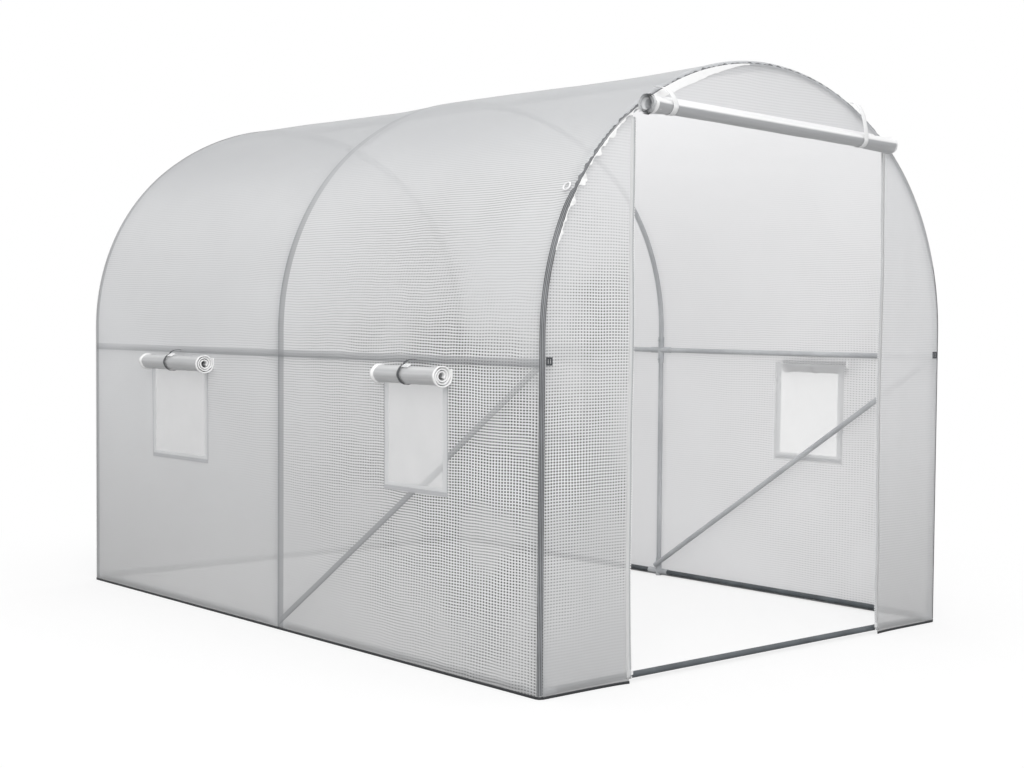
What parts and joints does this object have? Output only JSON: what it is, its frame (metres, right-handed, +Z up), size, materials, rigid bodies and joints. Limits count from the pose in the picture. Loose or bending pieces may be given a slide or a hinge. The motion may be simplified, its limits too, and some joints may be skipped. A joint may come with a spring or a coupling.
{
  "type": "polytunnel greenhouse",
  "caption": "Walk-in polytunnel greenhouse: a tube frame with an arched translucent fabric cover, a roll-up door rolled open at one end and roll-up netted windows in both side walls.",
  "frame": {"origin": "on the ground, at the centre of the bottom of the whole outer box", "axes": "+Y along the tunnel from the door end to the plain end, +Z up, +X to the right when facing the door from outside"},
  "size_m": [2.2872, 3.1172, 2.1156],
  "materials": {
    "frame_tube": "powder-coated light grey steel tube",
    "fitting": "moulded grey plastic",
    "cover": "reinforced translucent white polyethylene sheet",
    "cover_end": "reinforced translucent white polyethylene sheet",
    "roll": "rolled polyethylene cloth",
    "net": "fine insect net",
    "webbing": "woven white webbing",
    "window_tie": "woven dark grey tape",
    "zip_tape": "white zip tape",
    "buckle": "moulded dark plastic"
  },
  "bodies": {
    "root": {"front_left_post": "frame_tube", "front_left_arch": "frame_tube", "front_right_post": "frame_tube", "front_right_arch": "frame_tube", "middle_left_post": "frame_tube", "middle_left_arch": "frame_tube", "middle_right_post": "frame_tube", "middle_right_arch": "frame_tube", "rear_left_post": "frame_tube", "rear_left_arch": "frame_tube", "rear_right_post": "frame_tube", "rear_right_arch": "frame_tube", "left_side_rail": "frame_tube", "left_base_rail": "frame_tube", "left_brace": "frame_tube", "left_base_fittings": "fitting", "left_wall_cover": "cover", "left_roof_cover": "cover", "front_left_cover": "cover_end", "door_left_zip": "zip_tape", "left_window_nets": "net", "left_front_window_roll": "roll", "left_rear_window_roll": "roll", "right_side_rail": "frame_tube", "right_base_rail": "frame_tube", "right_brace": "frame_tube", "right_base_fittings": "fitting", "right_wall_cover": "cover", "right_roof_cover": "cover", "front_right_cover": "cover_end", "door_right_zip": "zip_tape", "right_window_nets": "net", "right_front_window_roll": "roll", "right_rear_window_roll": "roll", "ridge_pole": "frame_tube", "front_base_rail": "frame_tube", "rear_base_rail": "frame_tube", "rail_fittings": "fitting", "ridge_fittings": "fitting", "front_top_cover": "cover_end", "rear_cover": "cover_end", "door_roll": "roll", "door_straps": "webbing", "window_straps": "window_tie", "corner_buckles": "buckle"}
  },
  "joints": []
}
